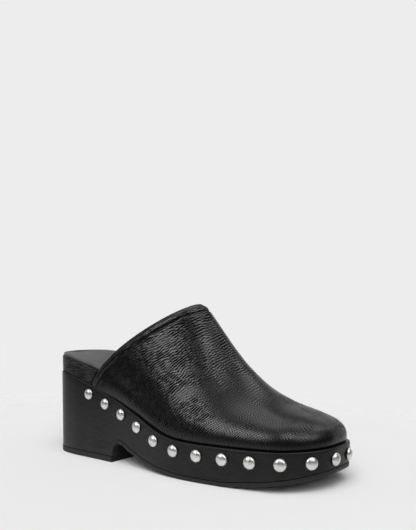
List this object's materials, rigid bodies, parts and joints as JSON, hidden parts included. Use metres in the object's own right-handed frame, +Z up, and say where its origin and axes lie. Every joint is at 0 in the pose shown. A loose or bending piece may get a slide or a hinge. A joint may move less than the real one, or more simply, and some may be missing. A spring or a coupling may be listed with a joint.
{
  "type": "platform clog",
  "caption": "Right platform clog: closed-toe leather mule upper on a solid platform with block heel, thick footbed, rubber treads and a row of domed nails along the edge.",
  "frame": {"origin": "centre of the heel's flat ground face, on the ground", "axes": "+X from heel to toe, +Y to the inner (big toe) side, +Z up"},
  "size_m": [0.2461, 0.0969, 0.1181],
  "materials": {
    "upper_leather": "black pebbled leather with a soft sheen",
    "footbed_leather": "black leather wrap, lightly grained",
    "insole_leather": "smooth dark grey lining leather",
    "sole": "satin black moulded plastic foam",
    "rubber": "matt black rubber",
    "nails": "polished nickel"
  },
  "bodies": {
    "root": {"sole_unit": "sole", "forefoot_tread": "rubber", "heel_top_lift": "rubber", "footbed": "footbed_leather", "insole": "insole_leather", "upper": "upper_leather", "nail_01": "nails", "nail_02": "nails", "nail_03": "nails", "nail_04": "nails", "nail_05": "nails", "nail_06": "nails", "nail_07": "nails", "nail_08": "nails", "nail_09": "nails", "nail_10": "nails", "nail_11": "nails", "nail_12": "nails", "nail_13": "nails", "nail_14": "nails", "nail_15": "nails", "nail_16": "nails", "nail_17": "nails", "nail_18": "nails", "nail_19": "nails", "nail_20": "nails", "nail_21": "nails", "nail_22": "nails", "nail_23": "nails", "nail_24": "nails"}
  },
  "joints": []
}
